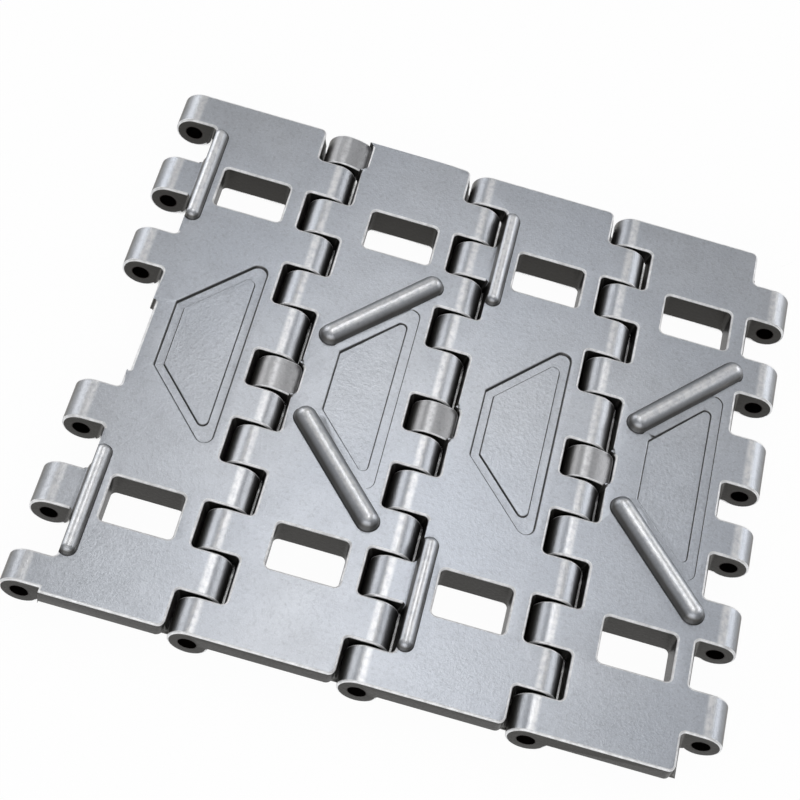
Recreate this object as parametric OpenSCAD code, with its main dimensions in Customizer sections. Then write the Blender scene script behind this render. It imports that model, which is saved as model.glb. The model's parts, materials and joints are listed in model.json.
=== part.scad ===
// Cast slat top chain: four hinged slats, the hinge pins that join them, and the keepers that hold
// the pins. X is the way of travel, Y runs along the hinge pins and Z is up. The chain lies flat on
// its knuckles, with the origin on the floor under its middle.

/* [Chain] */
// Distance from one hinge pin to the next
pitch = 50.8; // [49:0.1:62]
// Length of a slat along its hinge pins
slat_length = 195; // [180:1:230]
// Thickness of the carrying plate
plate_thickness = 6; // [4.5:0.1:7]

/* [Knuckles] */
// Outer diameter of a knuckle
knuckle_diameter = 12.4; // [11:0.1:14]
// Bore through the knuckles
bore_diameter = 5.6; // [4:0.1:6.5]
// Length of the two end places of a joint
end_place = 12.8; // [11:0.1:15]
// Gap between the end faces of neighbouring knuckles
knuckle_gap = 1.0; // [0.6:0.1:1.6]
// Gap between a knuckle and the top edge of the next slat's notch
edge_gap = 1.45; // [1:0.05:2]
// Gap between a knuckle and the leaning wall of that notch
wall_gap = 0.5; // [0.4:0.05:0.9]
// Plan radius in the corners of the notches
notch_radius = 1.6; // [0.6:0.1:1.7]
// Plan radius of the outer plate corners
corner_radius = 2.2; // [1:0.1:4]
// Step by which the last knuckle of the leading slat stays behind the plate's end
end_step = 1.6; // [0.5:0.1:3]

/* [Leading lip] */
// Thickness of the lip under the leading edge, behind the foot of the notches
lip_width = 3; // [2:0.1:3.4]
// Play between the lip and the knuckles that turn in it, beyond the gap at the notch walls
lip_play = 0.1; // [0.05:0.05:0.2]
// How far the lip stays inside the slat's two ends
lip_inset = 3.2; // [3:0.1:6]

/* [Keepers] */
// Length of a centre keeper along the pin
keeper_length = 12; // [10:0.1:14]
// How far the centre keeper sits off the middle of the slat
keeper_shift = 3; // [0:0.1:4]
// How far a keeper's pocket goes deeper into the slat than the notches beside it
keeper_recess = 1.2; // [0.8:0.1:2]
// Plan radius of the corners of a keeper's tail
keeper_radius = 2.2; // [1.2:0.1:2.5]
// Length of the deeper edge of a slat that has no keeper
relief_length = 28; // [20:0.5:34]
// Fall of the keeper's tail below the plate's top
keeper_fall = 2.2; // [1:0.1:3.5]
// Gap between the keeper's tail and the slat that it is keyed to
keeper_gap = 0.2; // [0.1:0.05:0.3]

/* [Pins and screws] */
// Radial play of a hinge pin in its bore
pin_play = 0.05; // [0.02:0.01:0.1]
// How far each pin end lies inside the end knuckle
pin_recess = 3; // [1:0.1:5]
// Chamfer of the pin ends
pin_chamfer = 0.6; // [0.3:0.1:1]
// Diameter of the keeper's locking screw
screw_diameter = 4; // [3:0.1:5]
// Radial play of the screw in its hole
screw_play = 0.05; // [0.02:0.01:0.1]
// Diameter of the screw's dog point
dog_diameter = 2.4; // [1.5:0.1:2.8]
// How deep the dog point reaches into the pin
dog_depth = 0.9; // [0.5:0.1:1.2]
// How deep the screw sits inside the keeper
screw_recess = 0.4; // [0.2:0.1:1]
// Width across corners of the screw's hexagon socket
socket_width = 2.3; // [1.5:0.1:2.6]
// Depth of that socket
socket_depth = 1.4; // [0.8:0.1:1.8]

/* [Sprocket windows] */
// Width of a window along the travel
window_width = 22.6; // [18:0.2:25]
// Length of a window along the pins
window_length = 16; // [12:0.2:18]
// Distance of the window centres from the middle of the slat
window_offset = 61.8; // [58:0.2:66]
// How far the windows sit toward the leading side
window_shift = 0.9; // [0:0.1:1.5]
// Plan radius in the window corners
window_radius = 1.7; // [1:0.1:3]
// Wall of the frame that stands under each window
frame_wall = 2.8; // [2:0.1:3]
// Depth of the window from the top of the plate to the foot of its frame
window_depth = 10.6; // [9:0.1:11]

/* [Raised ribs] */
// Diameter of the short ribs beside the pins
short_rib_diameter = 5.2; // [3:0.1:6]
// Length of the short ribs
short_rib_length = 39; // [30:0.5:42]
// Distance of the short ribs' middle from the middle of the slat
short_rib_offset = 64.5; // [60:0.5:68]
// How much of a short rib's side the slat's notches cut away
short_rib_cut = 0.5; // [0.3:0.1:1]
// Diameter of the long slanting ribs
long_rib_diameter = 7.4; // [4:0.1:8]
// Length of the slanting ribs
long_rib_length = 47; // [36:0.5:48]
// How far a slanting rib starts before the pocket's narrow side
long_rib_lead = 3.5; // [1:0.1:4]
// How far a slanting rib covers the line of the pocket's slanting side
long_rib_overlap = 0.4; // [0.2:0.1:1]

/* [Pocket] */
// Distance of the pocket's narrow side from the trailing pin
pocket_start = 14.8; // [13:0.1:17]
// Width of the pocket along the travel
pocket_width = 24.8; // [20:0.1:25]
// Half length of the pocket's narrow side
pocket_narrow = 12.4; // [10:0.1:15]
// Angle between the pocket's slanting sides and the travel
pocket_angle = 47.5; // [40:0.5:50]
// Width of the ledge along the pocket's sides
pocket_ledge = 3.1; // [2:0.1:4]
// Depth of the groove or pocket
pocket_depth = 1; // [0.6:0.1:1.5]
// How far the pad inside the groove stays below the plate's top
pad_drop = 0.3; // [0.1:0.05:0.5]
// Fall of the ledge beside the plain pocket
ledge_fall = 0.45; // [0.2:0.05:0.55]
// How far from the plain pocket's narrow side the ledge begins to fall
ledge_lead = 1.8; // [1.2:0.1:4]
// Plan radius of the pocket's two obtuse corners
narrow_radius = 1; // [0.5:0.1:2]
// Plan radius of the pocket's two acute corners
wide_radius = 3; // [2:0.1:3.5]
// Plan radius of the pad's or inner pocket's acute corners
inner_radius = 1.8; // [1:0.1:2.5]

/* [Hidden] */
$fn = 48;
slat_count = 4;
knuckle_radius = knuckle_diameter / 2;
bore_radius = bore_diameter / 2;
pin_radius = bore_radius - pin_play;
notch_depth = knuckle_radius + edge_gap;
recess_depth = notch_depth + keeper_recess;
relief_radius = keeper_recess / 2;
// The notch walls lean so far that each passes the knuckle at the wall gap.
wall_slope = acos((knuckle_radius + wall_gap) / norm([notch_depth, knuckle_radius]))
             - atan2(knuckle_radius, notch_depth);
lip_radius = knuckle_radius + wall_gap + lip_play;
axis_z = knuckle_radius;
top_z = knuckle_diameter;
half_length = slat_length / 2;
frame_foot = top_z - window_depth;
middle_x = pitch / 2;
// The steps along Y at which one knuckle place ends and the next begins, from the near end. Even
// places belong to the slat on the pin's trailing side, odd ones to the slat on its leading side.
place_count = 13;
centre_place = 6;
far_place = place_count - 1;
place_length = (slat_length - 2 * end_place) / (place_count - 2);
keeper_start = half_length - keeper_shift - (keeper_length + knuckle_gap) / 2;
function place_start(i) =
    i <= 0 ? 0 :
    i == centre_place ? keeper_start :
    i == centre_place + 1 ? keeper_start + keeper_length + knuckle_gap :
    i >= place_count ? slat_length :
    end_place + (i - 1) * place_length;
centre_keeper_start = keeper_start + knuckle_gap / 2;
end_keeper_start = place_start(far_place) + knuckle_gap / 2;
end_keeper_length = slat_length - end_keeper_start;
centre_screw_y = centre_keeper_start + keeper_length / 2;
end_screw_y = end_keeper_start + (end_keeper_length - pin_recess) / 2;
// How far a cut runs past the face that it opens
past = 1;
short_rib_radius = short_rib_diameter / 2;
long_rib_radius = long_rib_diameter / 2;
short_rib_x = notch_depth + short_rib_radius - short_rib_cut;
pocket_slope = tan(pocket_angle);
window_x = middle_x + window_shift;
// Straight steps that a rounded corner of a polygon is drawn in
arc_steps = 8;

// The X of a slat's trailing pin axis, for slats counted from 1, or of hinge pin n at n + 1.
function axis_x(n) = (n - 1 - slat_count / 2) * pitch;

// A rod along Y from y = 0.
module rod(radius, length) {
    rotate([-90, 0, 0]) cylinder(r = radius, h = length);
}

// A rectangle about the origin with round corners.
module rounded_rectangle(width, length, radius) {
    square([width - 2 * radius, length], center = true);
    square([width, length - 2 * radius], center = true);
    for (x = [-1, 1], y = [-1, 1])
        translate([x * (width / 2 - radius), y * (length / 2 - radius)]) circle(radius);
}

// A notch in a left edge at x = 0, seen from above, with its two inner corners round.
module notch_plan(depth, length, radius) {
    outside = knuckle_radius + past;
    translate([-outside, 0]) square([outside + depth - radius, length]);
    translate([-outside, radius]) square([outside + depth, length - 2 * radius]);
    for (y = [radius, length - radius])
        translate([depth - radius, y]) circle(radius);
}

// The space of a notch round a pin axis over x = 0. Its wall leans in toward the pin, and what lies
// under the wall keeps the lip's radius from the pin.
module notch(start, stop, depth, radius) {
    under = top_z + knuckle_radius;
    intersection() {
        translate([depth, start, top_z]) rotate([0, wall_slope, 0])
            translate([-depth, 0, -under])
                linear_extrude(under + long_rib_diameter) notch_plan(depth, stop - start, radius);
        union() {
            translate([0, start - past, axis_z]) rod(lip_radius, stop - start + 2 * past);
            translate([-lip_radius - past, start - past, axis_z - lip_radius * sin(wall_slope)])
                cube([lip_radius + depth + 2 * past, stop - start + 2 * past, top_z]);
        }
    }
}

// The corner that is cut off outside a round of the given radius, toward +X and +Y.
module corner_offcut(radius) {
    difference() {
        translate([-radius, -radius]) square(radius + past);
        translate([-radius, -radius]) circle(radius);
    }
}

// The points of a polygon with its corners rounded: each corner is an arc about its own centre.
function unit(v) = v / norm(v);
function rounded_corner(before, corner, after, radius) =
    let (a = unit(before - corner), b = unit(after - corner))
    let (half = acos(a * b) / 2)
    let (centre = corner + unit(a + b) * radius / sin(half))
    let (start = corner + a * radius / tan(half) - centre)
    let (turn = 180 - 2 * half, way = a[0] * b[1] - a[1] * b[0] > 0 ? -1 : 1)
    [for (i = [0 : arc_steps])
        let (t = way * turn * i / arc_steps)
        centre + [start[0] * cos(t) - start[1] * sin(t), start[0] * sin(t) + start[1] * cos(t)]];
function rounded_outline(points, radii) =
    let (n = len(points))
    [for (i = [0 : n - 1])
        each rounded_corner(points[(i + n - 1) % n], points[i], points[(i + 1) % n], radii[i])];

// The notch that leaves a run of knuckle places open.
module place_notch(first, last) {
    start = place_start(first) - (first == 0 ? notch_radius + past : knuckle_gap / 2);
    stop = place_start(last + 1) + (last == far_place ? notch_radius + past : knuckle_gap / 2);
    notch(start, stop, notch_depth, notch_radius);
}

// The pocket that a keeper's tail is keyed into.
module keeper_pocket(start, length) {
    translate([0, start - keeper_gap, -past])
        linear_extrude(top_z + 2 * past)
            notch_plan(recess_depth, length + 2 * keeper_gap, keeper_radius + keeper_gap);
}

// Everything that is cut out of a slat's two edges.
module edge_cuts(centre_keyed, far_end_keyed, step) {
    // Trailing edge: room for the knuckles of the slat in front, and for the keepers.
    for (i = [1, 3, centre_place - 1, centre_place + 1, 9, 11]) place_notch(i, i);
    if (centre_keyed) keeper_pocket(centre_keeper_start, keeper_length);
    else {
        place_notch(centre_place, centre_place);
        notch(centre_screw_y - relief_length / 2, centre_screw_y + relief_length / 2,
              recess_depth, relief_radius);
    }
    if (far_end_keyed) keeper_pocket(end_keeper_start, end_keeper_length);
    if (step > 0)
        translate([-knuckle_radius - past, -past, -past])
            cube([knuckle_radius + past + notch_depth - notch_radius, step + past, top_z + 2 * past]);
    // Leading edge: room for the knuckles of the slat behind.
    translate([pitch, 0, 0]) mirror([1, 0, 0])
        for (i = [0 : 2 : far_place]) place_notch(i, i);
    // The plate's two outer corners.
    translate([pitch - notch_depth, 0, -past]) linear_extrude(top_z + 2 * past) {
        translate([0, slat_length]) corner_offcut(corner_radius);
        mirror([0, 1]) corner_offcut(corner_radius);
    }
}

// The lip under the leading edge, before the notches are cut.
module leading_lip() {
    back = notch_depth + lip_width;
    translate([pitch - back, lip_inset, frame_foot])
        cube([back, slat_length - 2 * lip_inset, top_z - plate_thickness / 2 - frame_foot]);
}

// The frame under a window, and the window itself.
module window_frame() {
    translate([0, 0, frame_foot])
        linear_extrude(window_depth - plate_thickness / 2)
            rounded_rectangle(window_width + 2 * frame_wall, window_length + 2 * frame_wall,
                              window_radius + frame_wall);
}
module window_cut() {
    translate([0, 0, frame_foot - past])
        linear_extrude(window_depth + 2 * past)
            rounded_rectangle(window_width, window_length, window_radius);
}

// A round rib from one point of the plate's top to another, half sunk in the plate.
module rib(from, to, radius) {
    run = to - from;
    axis_start = from + unit(run) * radius;
    translate([axis_start[0], axis_start[1], top_z])
        rotate([0, 0, atan2(run[1], run[0]) - 90]) {
            rod(radius, norm(run) - 2 * radius);
            sphere(radius);
            translate([0, norm(run) - 2 * radius, 0]) sphere(radius);
        }
}
module short_ribs() {
    for (side = [-1, 1])
        let (y = half_length + side * short_rib_offset)
        rib([short_rib_x, y - short_rib_length / 2], [short_rib_x, y + short_rib_length / 2],
            short_rib_radius);
}
module long_ribs() {
    // The rib's axis is parallel to the pocket's slanting side.
    offset_y = (long_rib_radius - long_rib_overlap) / cos(pocket_angle);
    start = [pocket_start - long_rib_lead, pocket_narrow - long_rib_lead * pocket_slope + offset_y];
    stop = start + long_rib_length * [cos(pocket_angle), sin(pocket_angle)];
    translate([0, half_length, 0])
        for (side = [-1, 1])
            rib([start[0], side * start[1]], [stop[0], side * stop[1]], long_rib_radius);
}

// The pocket's outline, wide toward the leading side, with its sides moved in by the given ledge.
module pocket_outline(ledge, acute_radius) {
    back = pocket_start + ledge;
    front = pocket_start + pocket_width - ledge;
    shift = pocket_slope * ledge - ledge / cos(pocket_angle);
    narrow = pocket_narrow + shift;
    wide = narrow + pocket_slope * (front - back);
    translate([0, half_length])
        polygon(rounded_outline([[back, -narrow], [front, -wide], [front, wide], [back, narrow]],
                                [narrow_radius, acute_radius, acute_radius, narrow_radius]));
}
// A groove along the outline, which leaves a pad inside it.
module grooved_pocket_cut() {
    difference() {
        translate([0, 0, top_z - pocket_depth])
            linear_extrude(pocket_depth + past) pocket_outline(0, wide_radius);
        translate([0, 0, top_z - pocket_depth - past])
            linear_extrude(pocket_depth + past - pad_drop) pocket_outline(pocket_ledge, inner_radius);
    }
    translate([0, 0, top_z - pad_drop])
        linear_extrude(pad_drop + past) pocket_outline(pocket_ledge, inner_radius);
}
// A plain pocket, with a ledge round it that falls toward its wide side.
module plain_pocket_cut() {
    ledge_start = pocket_start + pocket_ledge + ledge_lead;
    translate([0, 0, top_z - pocket_depth])
        linear_extrude(pocket_depth + past) pocket_outline(pocket_ledge, inner_radius);
    translate([ledge_start, 0, top_z])
        rotate([0, asin(ledge_fall / (pocket_width - pocket_ledge - ledge_lead)), 0])
            translate([-ledge_start, 0, 0])
                linear_extrude(past) intersection() {
                    pocket_outline(0, wide_radius);
                    translate([ledge_start, 0]) square([pocket_width, slat_length]);
                }
}

// A whole slat with its trailing pin axis over the origin: a plate with a round bead along each pin
// axis, which the edge cuts divide into knuckles.
module slat(long_pattern = false, centre_keyed = true, far_end_keyed = false, step = 0) {
    difference() {
        union() {
            difference() {
                translate([0, 0, top_z - plate_thickness])
                    cube([pitch, slat_length, plate_thickness]);
                if (long_pattern) plain_pocket_cut();
                else grooved_pocket_cut();
            }
            for (x = [0, pitch])
                translate([x, 0, axis_z]) rod(knuckle_radius, slat_length);
            leading_lip();
            for (side = [-1, 1])
                translate([window_x, half_length + side * window_offset, 0]) window_frame();
            if (long_pattern) long_ribs();
            else short_ribs();
        }
        edge_cuts(centre_keyed, far_end_keyed, step);
        for (x = [0, pitch])
            translate([x, -past, axis_z]) rod(bore_radius, slat_length + 2 * past);
        for (side = [-1, 1])
            translate([window_x, half_length + side * window_offset, 0]) window_cut();
    }
}

module place_slat(n) {
    translate([axis_x(n), -half_length, 0]) children();
}
module slat_1() {
    color("silver") place_slat(1) slat(centre_keyed = false, step = end_step);
}
module slat_2() {
    color("silver") place_slat(2) slat(long_pattern = true, far_end_keyed = true);
}
module slat_3() {
    color("silver") place_slat(3) slat();
}
module slat_4() {
    color("silver") place_slat(4) slat(long_pattern = true);
}

// A hinge pin with chamfered ends and one seat for each screw that locks it.
module hinge_pin(screw_places) {
    pin_length = slat_length - 2 * pin_recess;
    difference() {
        translate([0, pin_recess, axis_z]) {
            translate([0, pin_chamfer, 0]) rod(pin_radius, pin_length - 2 * pin_chamfer);
            rotate([-90, 0, 0])
                cylinder(r1 = pin_radius - pin_chamfer, r2 = pin_radius, h = pin_chamfer);
            translate([0, pin_length, 0]) rotate([90, 0, 0])
                cylinder(r1 = pin_radius - pin_chamfer, r2 = pin_radius, h = pin_chamfer);
        }
        for (y = screw_places)
            translate([0, y, axis_z - pin_radius - past])
                cylinder(r = dog_diameter / 2 + screw_play, h = dog_depth + past + screw_play);
    }
}
module hinge_pin_1() {
    color("gray") place_slat(2) hinge_pin([centre_screw_y, end_screw_y]);
}
module hinge_pin_2() {
    color("gray") place_slat(3) hinge_pin([centre_screw_y]);
}
module hinge_pin_3() {
    color("gray") place_slat(4) hinge_pin([centre_screw_y]);
}

// Where the line from an outside point touches a circle about the origin, on its upper side.
function touch_point(from, radius) =
    let (angle = atan2(from[1], from[0]) + acos(radius / norm(from)))
    radius * [cos(angle), sin(angle)];

// A keeper: a barrel on the pin with a crowned tail that is keyed into the slat behind it.
module keeper(start, length, screw_y) {
    tail = recess_depth - keeper_gap;
    tail_foot = top_z - plate_thickness - axis_z;
    crown_radius = (tail * tail + keeper_fall * keeper_fall) / (2 * keeper_fall);
    crown_angle = asin(tail / crown_radius);
    crown = [for (i = [1 : arc_steps])
        let (t = crown_angle * i / arc_steps)
        [crown_radius * sin(t), knuckle_radius - crown_radius * (1 - cos(t))]];
    difference() {
        union() {
            translate([0, start, axis_z]) rod(knuckle_radius, length);
            intersection() {
                translate([0, start + length, axis_z]) rotate([90, 0, 0])
                    linear_extrude(length)
                        polygon([[0, tail_foot], touch_point(crown[0], knuckle_radius), each crown,
                                 [tail, tail_foot]]);
                translate([0, start, 0])
                    linear_extrude(top_z) notch_plan(tail, length, keeper_radius);
            }
        }
        translate([0, start - past, axis_z]) rod(bore_radius, length + 2 * past);
        translate([0, screw_y, -past])
            cylinder(r = screw_diameter / 2 + screw_play, h = axis_z + past);
    }
}
module centre_keeper(n) {
    color("darkgray") place_slat(n + 1)
        keeper(centre_keeper_start, keeper_length, centre_screw_y);
}
module centre_keeper_1() {
    centre_keeper(1);
}
module centre_keeper_2() {
    centre_keeper(2);
}
module centre_keeper_3() {
    centre_keeper(3);
}
module end_keeper() {
    color("darkgray") place_slat(2) keeper(end_keeper_start, end_keeper_length, end_screw_y);
}

// The locking screw of a keeper, driven in from below.
module locking_screw(screw_y) {
    head_end = axis_z - pin_radius - pin_play;
    translate([0, screw_y, 0])
        difference() {
            union() {
                translate([0, 0, screw_recess])
                    cylinder(r = screw_diameter / 2, h = head_end - screw_recess);
                translate([0, 0, screw_recess])
                    cylinder(r = dog_diameter / 2, h = head_end + pin_play + dog_depth
                                                       - screw_recess);
            }
            translate([0, 0, screw_recess - past])
                cylinder(r = socket_width / 2, h = socket_depth + past, $fn = 6);
        }
}
module centre_keeper_screw(n) {
    color("dimgray") place_slat(n + 1) locking_screw(centre_screw_y);
}
module centre_keeper_screw_1() {
    centre_keeper_screw(1);
}
module centre_keeper_screw_2() {
    centre_keeper_screw(2);
}
module centre_keeper_screw_3() {
    centre_keeper_screw(3);
}
module end_keeper_screw() {
    color("dimgray") place_slat(2) locking_screw(end_screw_y);
}

slat_1();
slat_2();
slat_3();
slat_4();
hinge_pin_1();
hinge_pin_2();
hinge_pin_3();
centre_keeper_1();
centre_keeper_2();
centre_keeper_3();
end_keeper();
centre_keeper_screw_1();
centre_keeper_screw_2();
centre_keeper_screw_3();
end_keeper_screw();
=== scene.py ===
"""Looks for a cast slat top chain: blasted metal slats with rounded edges, worn crests with a
painted highlight, painted highlights on the rims and painted shade on the walls, in the corners
and in the bores, lying on a white floor under soft studio light. All sizes are in metres."""

import json
import math

import bmesh
import bpy
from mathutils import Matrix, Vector
from mathutils.bvhtree import BVHTree


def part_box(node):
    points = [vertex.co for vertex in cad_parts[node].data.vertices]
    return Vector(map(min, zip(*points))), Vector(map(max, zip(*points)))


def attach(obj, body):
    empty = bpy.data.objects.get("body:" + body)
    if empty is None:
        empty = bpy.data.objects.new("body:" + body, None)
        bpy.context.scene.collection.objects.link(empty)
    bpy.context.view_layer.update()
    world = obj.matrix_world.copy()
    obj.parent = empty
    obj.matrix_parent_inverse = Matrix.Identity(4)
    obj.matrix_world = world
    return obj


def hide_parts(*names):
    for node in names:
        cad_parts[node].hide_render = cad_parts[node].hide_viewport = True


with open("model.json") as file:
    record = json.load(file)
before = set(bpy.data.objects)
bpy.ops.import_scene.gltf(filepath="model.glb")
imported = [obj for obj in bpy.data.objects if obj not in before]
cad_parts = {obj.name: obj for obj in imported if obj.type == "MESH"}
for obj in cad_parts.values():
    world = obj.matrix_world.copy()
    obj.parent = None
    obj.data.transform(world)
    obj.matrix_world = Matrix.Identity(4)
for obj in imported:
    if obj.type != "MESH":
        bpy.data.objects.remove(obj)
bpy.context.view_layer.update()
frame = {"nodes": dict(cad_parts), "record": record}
scene = bpy.context.scene
scene.view_settings.view_transform = "Standard"
MM = 0.001

# The body that each piece rides with, and its material slot, from the record.
BODIES = frame["record"]["behaviour"]["bodies"]
BODY_OF = {node: body for body, nodes in BODIES.items() for node in nodes}
SLOT_OF = {part["node"]: part["material_slot"] for part in frame["record"]["subparts"]}

# Heights and distances taken from the solids. BORE is the radius of a hinge pin, which nearly
# fills its bore.
PLATE_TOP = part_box("centre_keeper_1")[1].z
PIN_AXIS = PLATE_TOP / 2
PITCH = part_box("hinge_pin_3")[0].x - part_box("hinge_pin_2")[0].x
BORE = (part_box("hinge_pin_2")[1].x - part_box("hinge_pin_2")[0].x) / 2


# ---------------------------------------------------------------- camera
def add_camera():
    data = bpy.data.cameras.new("studio_camera")
    data.lens = 90
    data.sensor_width = 36
    camera = bpy.data.objects.new("studio_camera", data)
    scene.collection.objects.link(camera)
    camera.location = (-0.01874, -0.34668, 0.53290)
    camera.rotation_euler = [math.radians(angle) for angle in (32.4644, -9.3886, 13.0112)]
    scene.camera = camera


# ---------------------------------------------------------------- materials
def shade(colour, by):
    return tuple(part * by for part in colour)


class Finish:
    """A node material under construction: one principled shader and helpers to feed it."""

    def __init__(self, name):
        self.material = bpy.data.materials.new(name)
        self.material.use_nodes = True
        self.nodes = self.material.node_tree.nodes
        self.links = self.material.node_tree.links
        self.shader = self.nodes["Principled BSDF"]
        self.coordinates = self.nodes.new("ShaderNodeTexCoord")

    def link(self, source, target):
        self.links.new(source, target)

    def noise(self, scale, detail=4.0, roughness=0.55, stretch=(1, 1, 1)):
        mapping = self.nodes.new("ShaderNodeMapping")
        mapping.inputs["Scale"].default_value = stretch
        self.link(self.coordinates.outputs["Object"], mapping.inputs["Vector"])
        node = self.nodes.new("ShaderNodeTexNoise")
        node.inputs["Scale"].default_value = scale
        node.inputs["Detail"].default_value = detail
        node.inputs["Roughness"].default_value = roughness
        self.link(mapping.outputs["Vector"], node.inputs["Vector"])
        return node.outputs["Fac"]

    def spread(self, value, low, high, to_low=0.0, to_high=1.0, smooth=False):
        """The value's way from low to high, held at its ends and stretched over the new range."""
        node = self.nodes.new("ShaderNodeMapRange")
        node.interpolation_type = "SMOOTHSTEP" if smooth else "LINEAR"
        node.inputs["From Min"].default_value = low
        node.inputs["From Max"].default_value = high
        node.inputs["To Min"].default_value = to_low
        node.inputs["To Max"].default_value = to_high
        self.link(value, node.inputs["Value"])
        return node.outputs["Result"]

    def blend(self, factor, first, second):
        """The first colour where the factor is zero, the second where it is one."""
        node = self.nodes.new("ShaderNodeMix")
        node.data_type = "RGBA"
        sockets = [s for s in node.inputs if s.type == "RGBA"]
        for socket, colour in zip(sockets, (first, second)):
            if isinstance(colour, tuple):
                socket.default_value = (*colour, 1.0)
            else:
                self.link(colour, socket)
        self.link(factor, node.inputs["Factor"])
        return [s for s in node.outputs if s.type == "RGBA"][0]

    def calculate(self, operation, first, second=0.0):
        node = self.nodes.new("ShaderNodeMath")
        node.operation = operation
        for socket, value in zip(node.inputs, (first, second)):
            if isinstance(value, (int, float)):
                socket.default_value = value
            else:
                self.link(value, socket)
        return node.outputs["Value"]

    def axis(self, output, letter):
        """One part of the place ("Object") or of the surface's direction ("Normal")."""
        node = self.nodes.new("ShaderNodeSeparateXYZ")
        self.link(self.coordinates.outputs[output], node.inputs["Vector"])
        return node.outputs[letter]

    def from_pin(self):
        """The distance along the travel to the nearest line of hinge pins."""
        return self.calculate("PINGPONG", self.axis("Object", "X"), PITCH / 2)

    def inside_bore(self):
        """One on the walls of the bores, zero outside their rims."""
        along = self.calculate("POWER", self.from_pin(), 2.0)
        above = self.calculate("SUBTRACT", self.axis("Object", "Z"), PIN_AXIS)
        up = self.calculate("POWER", self.calculate("ABSOLUTE", above), 2.0)
        radius = self.calculate("SQRT", self.calculate("ADD", along, up))
        return self.spread(radius, BORE + 0.15 * MM, BORE + 0.4 * MM, 1.0, 0.0)

    def crest_wear_and_sheen(self):
        """One along the crests of the knuckles and the raised ribs, where the load slides and where
        a painted highlight goes.
        """
        level = self.spread(self.axis("Normal", "Z"), 0.84, 0.98, smooth=True)
        knuckle = self.spread(self.from_pin(), 1.9 * MM, 0.5 * MM, smooth=True)
        raised = self.spread(self.axis("Object", "Z"), PLATE_TOP + 1 * MM, PLATE_TOP + 2 * MM)
        return self.calculate("MULTIPLY", level, self.calculate("MAXIMUM", knuckle, raised))

    def bump(self, height, distance, strength, after=None):
        node = self.nodes.new("ShaderNodeBump")
        node.inputs["Distance"].default_value = distance
        node.inputs["Strength"].default_value = strength
        self.link(height, node.inputs["Height"])
        if after is not None:
            self.link(after, node.inputs["Normal"])
        return node.outputs["Normal"]


# Near-white metal for the crests: partly wear, partly a painted highlight.
BARE_METAL_AND_SHEEN = (0.95, 0.955, 0.97)
# Near black for the painted shade in the bores.
BORE_SHADE = (0.014, 0.009, 0.008)


def cast_metal(name, top, flank_shade, wall_shade, roughness, crest_sheen):
    """Blasted casting, pale on the upper faces, with painted shade by the direction of each face:
    greyer down the round flanks and dark on the walls. The crests that carry the load are worn and
    get a painted highlight, and the bores get painted shade, darkest of all."""
    finish = Finish(name)
    upward = finish.axis("Normal", "Z")
    # Masks for painted shade by the face's direction: round flanks against walls, and level tops.
    shaded_flank_mask = finish.spread(upward, 0.02, 0.12)
    lit_top_mask = finish.spread(upward, 0.5, 0.985)
    grain = finish.noise(1700, 3, 0.7)
    speckle = finish.noise(820, 3, 0.6)
    mottle = finish.noise(95, 5, 0.62)
    broad = finish.noise(13, 3, 0.5)
    bluish = tuple(part * by for part, by in zip(top, (0.88, 0.91, 0.96)))
    skin = finish.blend(finish.spread(mottle, 0.32, 0.68), top, shade(top, 0.88))
    skin = finish.blend(finish.spread(broad, 0.35, 0.65, 0.0, 0.5), skin, bluish)
    skin = finish.blend(finish.spread(speckle, 0.5, 0.75, 0.0, 0.35), skin, shade(top, 0.5))
    skin = finish.blend(finish.spread(grain, 0.52, 0.68, 0.0, 0.4), skin, shade(top, 1.3))
    # Painted shade: greyer on the round flanks, darkest on the walls, a little lighter facing down.
    shaded_flank = finish.blend(finish.spread(mottle, 0.32, 0.68), flank_shade, shade(flank_shade, 0.75))
    shaded_wall = finish.blend(finish.spread(upward, -0.95, -0.3), shade(flank_shade, 0.6), wall_shade)
    skin = finish.blend(lit_top_mask, finish.blend(shaded_flank_mask, shaded_wall, shaded_flank), skin)
    # Painted highlight, partly wear: near-white metal along the crests, broken by noise.
    crest_sheen_amount = finish.spread(finish.noise(480, 4, 0.65), 0.34, 0.6, 0.4 * crest_sheen, crest_sheen)
    polish_and_sheen = finish.calculate("MULTIPLY", finish.crest_wear_and_sheen(), crest_sheen_amount)
    skin = finish.blend(polish_and_sheen, skin, BARE_METAL_AND_SHEEN)
    # Painted shade: near black on the walls of the bores.
    skin = finish.blend(finish.inside_bore(), skin, BORE_SHADE)
    finish.link(skin, finish.shader.inputs["Base Color"])
    finish.shader.inputs["Metallic"].default_value = 0.9
    dull = finish.spread(grain, 0.3, 0.7, roughness - 0.05, roughness + 0.07)
    tilted = finish.spread(upward, 0.999, 0.93, 0.0, 0.06)
    finish.link(finish.calculate("ADD", dull, tilted), finish.shader.inputs["Roughness"])
    height = finish.axis("Object", "Z")
    sunk = finish.spread(height, PLATE_TOP - 0.35 * MM, PLATE_TOP - 0.05 * MM, 1.0, 0.55)
    coarse = finish.bump(finish.calculate("MULTIPLY", speckle, sunk), 0.12 * MM, 0.6)
    finish.link(finish.bump(grain, 0.05 * MM, 0.8, coarse), finish.shader.inputs["Normal"])
    return finish.material


def painted_edge_highlight(name, colour):
    """Painted highlight along the rounded outer edges: near-white metal, broken by noise."""
    finish = Finish(name)
    rim_noise = finish.noise(420, 4, 0.65)
    skin = finish.blend(finish.spread(rim_noise, 0.38, 0.66), colour, shade(colour, 0.72))
    finish.link(skin, finish.shader.inputs["Base Color"])
    finish.shader.inputs["Metallic"].default_value = 0.4
    finish.link(finish.spread(rim_noise, 0.3, 0.7, 0.36, 0.48), finish.shader.inputs["Roughness"])
    finish.link(finish.bump(rim_noise, 0.04 * MM, 0.5), finish.shader.inputs["Normal"])
    return finish.material


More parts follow.
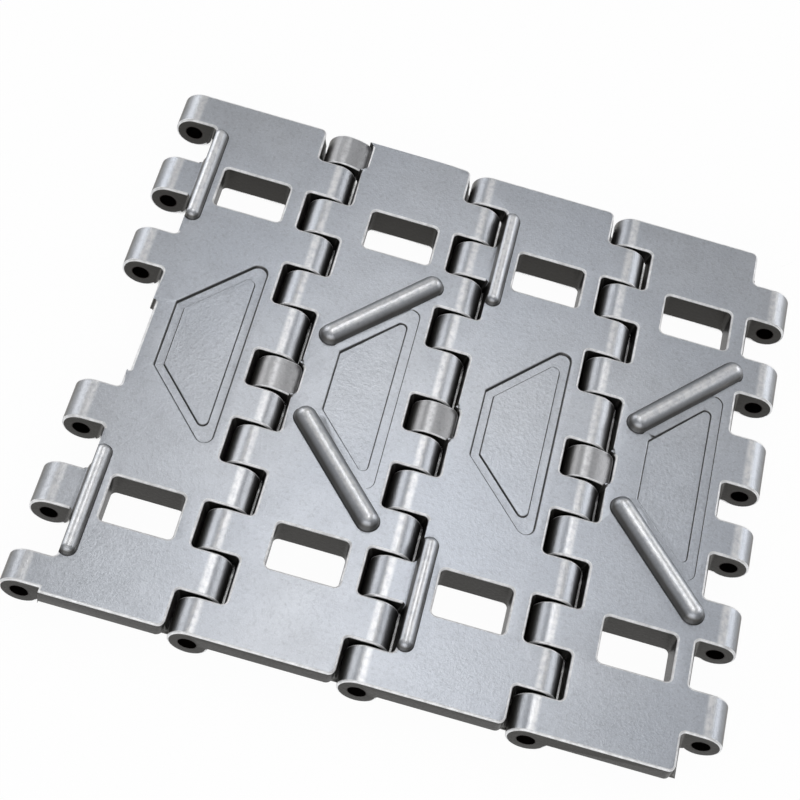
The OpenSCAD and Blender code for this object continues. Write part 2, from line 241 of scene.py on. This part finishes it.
def painted_corner_shade(name, colour):
    """Painted shade: a dark colour along the foot of each wall, in the inner corners."""
    finish = Finish(name)
    foot_noise = finish.noise(260, 4, 0.6)
    skin = finish.blend(finish.spread(foot_noise, 0.36, 0.66), colour, shade(colour, 1.5))
    finish.link(skin, finish.shader.inputs["Base Color"])
    finish.shader.inputs["Metallic"].default_value = 0.8
    finish.link(finish.spread(foot_noise, 0.3, 0.7, 0.42, 0.52), finish.shader.inputs["Roughness"])
    finish.link(finish.bump(foot_noise, 0.05 * MM, 0.5), finish.shader.inputs["Normal"])
    return finish.material


def drawn_steel(name, colour, roughness):
    """Plain steel rod with faint lines along its length."""
    finish = Finish(name)
    lines = finish.noise(900, 3, 0.6, (1, 0.03, 1))
    skin = finish.blend(finish.spread(lines, 0.35, 0.65), colour, shade(colour, 0.75))
    finish.link(skin, finish.shader.inputs["Base Color"])
    finish.shader.inputs["Metallic"].default_value = 0.95
    finish.link(finish.spread(lines, 0.3, 0.7, roughness - 0.06, roughness + 0.08),
                finish.shader.inputs["Roughness"])
    finish.link(finish.bump(lines, 0.02 * MM, 0.4), finish.shader.inputs["Normal"])
    return finish.material


def white_floor():
    """Matt white, lit up for what looks straight at it, so that it stays white and keeps a faint
    shadow; ambient occlusion dims that glow, a painted shadow that keeps it dark where the chain
    shuts out nearly all light, as under a hinge's slits."""
    finish = Finish("white_floor")
    finish.shader.inputs["Base Color"].default_value = (0.96, 0.96, 0.96, 1)
    finish.shader.inputs["Roughness"].default_value = 0.95
    path = finish.nodes.new("ShaderNodeLightPath")
    seen = finish.calculate("MAXIMUM", path.outputs["Is Camera Ray"], path.outputs["Is Glossy Ray"])
    seen = finish.calculate("MAXIMUM", seen, path.outputs["Is Transmission Ray"])
    glow = finish.nodes.new("ShaderNodeEmission")
    # Painted shadow: ambient occlusion dims the glow where the chain shuts the floor in.
    painted_shadow_occlusion = finish.nodes.new("ShaderNodeAmbientOcclusion")
    painted_shadow_occlusion.samples = 32
    painted_shadow_occlusion.inputs["Distance"].default_value = 100 * MM
    finish.link(finish.spread(painted_shadow_occlusion.outputs["AO"], 0.035, 0.07), glow.inputs["Strength"])
    mix = finish.nodes.new("ShaderNodeMixShader")
    finish.link(finish.calculate("MULTIPLY", seen, 0.97), mix.inputs["Fac"])
    finish.link(finish.shader.outputs["BSDF"], mix.inputs[1])
    finish.link(glow.outputs["Emission"], mix.inputs[2])
    finish.link(mix.outputs["Shader"], finish.nodes["Material Output"].inputs["Surface"])
    return finish.material


# Painted shade: the wall colour, and the darker flank colours below, stand in for the shade on
# faces that turn away from up.
PAINTED_WALL_SHADE = (0.042, 0.04, 0.037)
FINISHES = {
    "cast_metal": cast_metal("blasted_casting", top=(0.62, 0.645, 0.69),
                             flank_shade=(0.18, 0.175, 0.167), wall_shade=PAINTED_WALL_SHADE, roughness=0.34, crest_sheen=1.0),
    "keeper_metal": cast_metal("keeper_casting", top=(0.5, 0.5, 0.51),
                               flank_shade=(0.2, 0.194, 0.185), wall_shade=PAINTED_WALL_SHADE, roughness=0.38,
                               crest_sheen=0.75),
    "pin_steel": drawn_steel("pin_steel", (0.1, 0.085, 0.08), 0.5),
    "screw_steel": drawn_steel("screw_steel", (0.06, 0.06, 0.062), 0.4),
}
# Painted highlight: near-white metal on the rounded outer edges.
EDGE_HIGHLIGHT = painted_edge_highlight("painted_edge_highlight", (0.93, 0.935, 0.95))
# Painted shade: near black in the rounded inner corners.
CORNER_SHADE = painted_corner_shade("painted_corner_shade", (0.06, 0.06, 0.062))

# ---------------------------------------------------------------- pieces
# Radius of each kind of rounded edge: lines that are barely a step, the feet of a slat's raised
# ribs, the low and the high walls of its pockets, and its plain edges.
CASTING_EDGES = {"line": 0.17 * MM, "rib_foot": 0.30 * MM, "low_wall": 0.27 * MM,
                 "pocket": 0.42 * MM, "plain": 0.65 * MM}
KEEPER_EDGES = {"plain": 0.45 * MM}
TURNED_EDGES = {"pin_steel": 0.12 * MM, "screw_steel": 0.08 * MM}

# The kind of a step in the top of a slat, by how high it is at most.
STEP_KINDS = (("line", 0.6 * MM), ("low_wall", 0.75 * MM), ("pocket", 1.2 * MM))
# How deep the faces beside an edge have to be for it to take the plain or the pocket radius.
PLAIN_ROOM = 0.68 * MM
POCKET_ROOM = 0.45 * MM

# The angle from which an edge of a slat, or of a smaller piece, is rounded, and the angle past
# which an edge is a fold.
SHARP = math.radians(60)
SMALL_SHARP = math.radians(40)
FOLDED = math.radians(130)

# The upward part of the direction of a level face, at least, and of a wall, at most.
LEVEL = 0.95
WALL = 0.3

# An edge of a keeper that reaches above this height is on its crown.
KEEPER_CROWN = 5.5 * MM

# How close to a crisp place the middle or the end of an edge may come and still be rounded, how
# far apart such places are kept, and how often they are looked for.
CRISP_MIDDLE = 0.9 * MM
CRISP_END = 0.6 * MM
CRISP_APART = 0.2 * MM
ATTEMPTS = 8

# Faces under this area can't show a fold. A larger face than FINE_FACE is only crisp at the
# corners that have left the solid's surface.
SPECK = 2e-4 * MM * MM
FINE_FACE = 4 * MM * MM
OFF_SURFACE = 0.13 * MM

# Corners of a solid that are this close are one, and faces that bend less than this are flat.
MERGED = 0.03 * MM
FLAT = math.radians(0.4)

# The places of the painted edge highlight and the painted corner shade in a piece's list of
# materials.
HIGHLIT_EDGES, SHADED_CORNERS = 1, 2


def is_sharp(edge, least=SHARP):
    return len(edge.link_faces) == 2 and least < edge.calc_face_angle(0) < FOLDED


def heights(things):
    return [vert.co.z for vert in things.verts]


def from_axis(place):
    """Distance to the nearest hinge axis: they lie a pitch apart, from minus two to plus two."""
    along = abs(place.x / PITCH - round(place.x / PITCH)) * PITCH
    return math.hypot(along, place.z - PIN_AXIS)


def round_a_bore(edge):
    return all(from_axis(vert.co) < BORE + 0.1 * MM for vert in edge.verts)


def casting_edge_kind(edge):
    """The kind of an edge on a slat, or None where it stays crisp: the mouths of the bores, what
    hangs below the plate, inner corners, and edges whose faces leave no room."""
    if not is_sharp(edge) or round_a_bore(edge):
        return None
    on_knuckle = all(from_axis(vert.co) < PIN_AXIS + 0.05 * MM for vert in edge.verts)
    faces_down = min(face.normal.z for face in edge.link_faces) < -LEVEL
    hidden = faces_down or max(heights(edge)) < PIN_AXIS + 0.3 * MM
    if hidden and not on_knuckle:
        return None
    level = [face for face in edge.link_faces if face.normal.z > LEVEL]
    walls = [face for face in edge.link_faces if abs(face.normal.z) < WALL]
    if level and walls and min(heights(edge)) > PLATE_TOP - 2 * MM:
        top, foot = max(heights(walls[0])), min(heights(walls[0]))
        if top > PLATE_TOP + 0.05 * MM:
            return None if edge.is_convex else "rib_foot"
        for kind, highest in STEP_KINDS:
            if top - foot < highest:
                return kind
    if not edge.is_convex and not (level and walls):
        return None
    room = min(face.calc_area() for face in edge.link_faces) / edge.calc_length()
    return "plain" if room > PLAIN_ROOM else "pocket" if room > POCKET_ROOM else None


def keeper_edge_kind(edge):
    """Plain for the outer edges of a keeper; its bore and screw hole stay crisp under the crown."""
    at_end = any(abs(face.normal.y) > LEVEL for face in edge.link_faces)
    on_crown = max(heights(edge)) > KEEPER_CROWN
    outer = edge.is_convex and not round_a_bore(edge) and (at_end or on_crown)
    return "plain" if outer and is_sharp(edge, SMALL_SHARP) else None


def bevel(shape, edges, radius):
    return bmesh.ops.bevel(shape, geom=edges, offset=radius, offset_type="OFFSET", segments=3,
                           profile=0.5, affect="EDGES", clamp_overlap=False, material=-1)


def beside(edge, places):
    """Whether the edge's middle or one of its ends is close to one of the places."""
    middle = (edge.verts[0].co + edge.verts[1].co) / 2
    return any((middle - place).length < CRISP_MIDDLE for place in places) or any(
        (vert.co - place).length < CRISP_END for vert in edge.verts for place in places)


def rounded(solid, kind_of, radii, crisp):
    """A copy of the solid with its edges rounded kind by kind, apart from those beside a crisp
    place; each edge's kind is settled before the first is cut. The new faces that lean get a
    painted highlight on plain outer edges, and painted shade in inner corners."""
    shape = solid.copy()
    mark = shape.edges.layers.int.new("kind")
    kinds = list(radii)
    for edge in shape.edges:
        kind = kind_of(edge)
        edge[mark] = kinds.index(kind) + 1 if kind and not beside(edge, crisp) else 0
    for number, kind in enumerate(kinds, 1):
        marked = [edge for edge in shape.edges if edge[mark] == number]
        for edge in marked:
            edge[mark] = 0
        outer = [edge for edge in marked if edge.is_convex]
        inner = [edge for edge in marked if not edge.is_convex]
        for edges, material in ((outer, HIGHLIT_EDGES), (inner, SHADED_CORNERS)):
            edges = [edge for edge in edges if edge.is_valid]
            if not edges:
                continue
            made = bevel(shape, edges, radii[kind])
            for edge in made["edges"]:
                edge[mark] = 0
            shape.normal_update()
            for face in made["faces"]:
                leans = max(abs(part) for part in face.normal) < 0.99
                if leans and (material == SHADED_CORNERS or kind == "plain"):
                    face.material_index = material
    shape.normal_update()
    return shape


def folded_corners(shape, surface):
    """Corners of the faces that rounding has turned over, against the face that they were cut
    from or against the solid's own surface."""
    cut = shape.copy()
    before = [face.normal.copy() for face in cut.faces]
    source = cut.faces.layers.int.new("source")
    for number, face in enumerate(cut.faces):
        face[source] = number
    bmesh.ops.triangulate(cut, faces=cut.faces[:])
    cut.normal_update()
    corners = []
    for face in cut.faces:
        if face.calc_area() < SPECK:
            continue
        normal = surface.find_nearest(face.calc_center_median())[1]
        if face.normal.dot(before[face[source]]) < 0.3 or face.normal.dot(normal) < -0.2:
            fine = face.calc_area() < FINE_FACE
            corners += [vert.co.copy() for vert in face.verts
                        if fine or surface.find_nearest(vert.co)[3] > OFF_SURFACE]
    cut.free()
    return corners


def round_edges(solid, kind_of, radii):
    """Round a solid's edges, and leave crisp the few places where that would fold a face over."""
    surface = BVHTree.FromBMesh(solid)
    crisp = []
    for attempt in range(ATTEMPTS):
        shape = rounded(solid, kind_of, radii, crisp)
        known = len(crisp)
        for corner in folded_corners(shape, surface):
            if all((corner - place).length > CRISP_APART for place in crisp):
                crisp.append(corner)
        if len(crisp) == known or attempt == ATTEMPTS - 1:
            return shape
        shape.free()


def round_a_casting(shape, kind_of, radii):
    casting = round_edges(shape, kind_of, radii)
    shape.free()
    return casting


def finished_shape(solid, slot):
    """The solid's mesh, cleared of seams, with its edges rounded."""
    shape = bmesh.new()
    shape.from_mesh(solid)
    bmesh.ops.remove_doubles(shape, verts=shape.verts, dist=MERGED)
    bmesh.ops.dissolve_limit(shape, angle_limit=FLAT, verts=shape.verts, edges=shape.edges)
    if slot == "cast_metal":
        shape = round_a_casting(shape, casting_edge_kind, CASTING_EDGES)
    elif slot == "keeper_metal":
        shape = round_a_casting(shape, keeper_edge_kind, KEEPER_EDGES)
    else:
        rims = [edge for edge in shape.edges if is_sharp(edge, SMALL_SHARP)]
        bevel(shape, rims, TURNED_EDGES[slot])
    bmesh.ops.triangulate(shape, faces=[face for face in shape.faces if len(face.verts) > 4])
    for face in shape.faces:
        face.smooth = True
    return shape


def finish_piece(node):
    """The finished piece in place of the plain solid, with its materials and flat faces."""
    slot = SLOT_OF[node]
    shape = finished_shape(frame["nodes"][node].data, slot)
    mesh = bpy.data.meshes.new(node + "_finished")
    shape.to_mesh(mesh)
    shape.free()
    mesh.set_sharp_from_angle(angle=SMALL_SHARP)
    for material in (FINISHES[slot], EDGE_HIGHLIGHT, CORNER_SHADE):
        mesh.materials.append(material)
    piece = bpy.data.objects.new(node + "_finished", mesh)
    scene.collection.objects.link(piece)
    weighted = piece.modifiers.new("flat_faces", "WEIGHTED_NORMAL")
    weighted.mode = "FACE_AREA"
    weighted.weight = 50
    weighted.keep_sharp = True
    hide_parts(node)
    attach(piece, BODY_OF[node])


# ---------------------------------------------------------------- room
def add_room():
    bpy.ops.mesh.primitive_plane_add(size=12, location=(0, 0, -0.05 * MM))
    floor = bpy.context.object
    floor.name = "studio_floor"
    floor.data.materials.append(white_floor())
    world = bpy.data.worlds.new("studio_world")
    scene.world = world
    world.use_nodes = True
    background = world.node_tree.nodes["Background"]
    background.inputs["Color"].default_value = (1, 1, 1, 1)
    background.inputs["Strength"].default_value = 0.26


def add_lamp(name, place, size, power):
    """A rectangular lamp that points at the middle of the chain."""
    data = bpy.data.lights.new(name, "AREA")
    data.shape = "RECTANGLE"
    data.size, data.size_y = size
    data.energy = power
    lamp = bpy.data.objects.new(name, data)
    scene.collection.objects.link(lamp)
    lamp.location = place
    lamp.rotation_euler = (Vector() - Vector(place)).to_track_quat("-Z", "Y").to_euler()


add_camera()
for node_name in frame["nodes"]:
    finish_piece(node_name)
add_room()
add_lamp("overhead_softbox", (0.0, 0.28, 0.9), (0.26, 0.7), 1.1)
add_lamp("left_softbox", (-0.85, 0.6, 0.5), (0.8, 0.6), 2.8)
add_lamp("right_softbox", (0.85, 0.6, 0.5), (0.8, 0.6), 2.8)
add_lamp("front_softbox", (-0.05, -0.8, 0.5), (1.2, 0.6), 4.3)
